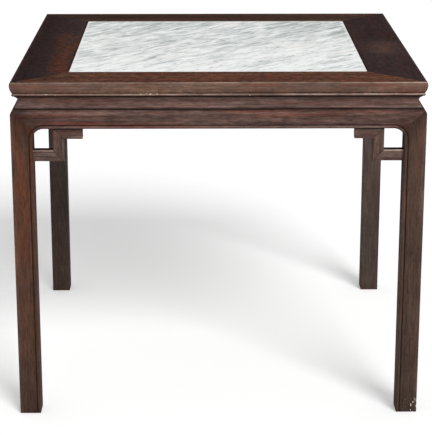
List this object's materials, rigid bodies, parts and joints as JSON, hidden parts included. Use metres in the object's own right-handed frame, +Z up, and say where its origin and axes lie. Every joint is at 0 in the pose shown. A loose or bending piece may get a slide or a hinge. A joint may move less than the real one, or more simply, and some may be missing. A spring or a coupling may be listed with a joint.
{
  "type": "square dining table",
  "caption": "Square waisted dining table with a veined marble panel in a mitred wooden frame, straight square legs and small hooked corner spandrels.",
  "frame": {"origin": "on the floor, under the middle of the table", "axes": "+Z up, +X to the right along the front stile, +Y to the back; the stone braces run along Y"},
  "size_m": [0.96, 0.96, 0.815],
  "materials": {
    "stile_wood": "polished, worn",
    "end_wood": "polished, worn",
    "waist_wood": "waxed",
    "apron_wood": "waxed",
    "leg_wood": "waxed",
    "spandrel_wood": "waxed",
    "inner_wood": "unfinished",
    "marble": "honed"
  },
  "bodies": {
    "root": {"apron_back": "apron_wood", "apron_front": "apron_wood", "apron_left": "apron_wood", "apron_right": "apron_wood", "leg_back_left": "leg_wood", "leg_back_right": "leg_wood", "leg_front_left": "leg_wood", "leg_front_right": "leg_wood", "marble_panel": "marble", "spandrel_apron_tenons": "inner_wood", "spandrel_back_left_lower_stick": "spandrel_wood", "spandrel_back_left_upper_stick": "spandrel_wood", "spandrel_back_left_upright": "spandrel_wood", "spandrel_back_right_lower_stick": "spandrel_wood", "spandrel_back_right_upper_stick": "spandrel_wood", "spandrel_back_right_upright": "spandrel_wood", "spandrel_front_left_lower_stick": "spandrel_wood", "spandrel_front_left_upper_stick": "spandrel_wood", "spandrel_front_left_upright": "spandrel_wood", "spandrel_front_right_lower_stick": "spandrel_wood", "spandrel_front_right_upper_stick": "spandrel_wood", "spandrel_front_right_upright": "spandrel_wood", "spandrel_left_back_lower_stick": "spandrel_wood", "spandrel_left_back_upper_stick": "spandrel_wood", "spandrel_left_back_upright": "spandrel_wood", "spandrel_left_front_lower_stick": "spandrel_wood", "spandrel_left_front_upper_stick": "spandrel_wood", "spandrel_left_front_upright": "spandrel_wood", "spandrel_leg_tenons": "inner_wood", "spandrel_right_back_lower_stick": "spandrel_wood", "spandrel_right_back_upper_stick": "spandrel_wood", "spandrel_right_back_upright": "spandrel_wood", "spandrel_right_front_lower_stick": "spandrel_wood", "spandrel_right_front_upper_stick": "spandrel_wood", "spandrel_right_front_upright": "spandrel_wood", "stone_brace_1": "inner_wood", "stone_brace_2": "inner_wood", "stone_brace_3": "inner_wood", "top_end_left": "end_wood", "top_end_right": "end_wood", "top_stile_back": "stile_wood", "top_stile_front": "stile_wood", "waist_back": "waist_wood", "waist_front": "waist_wood", "waist_left": "waist_wood", "waist_right": "waist_wood"}
  },
  "joints": []
}
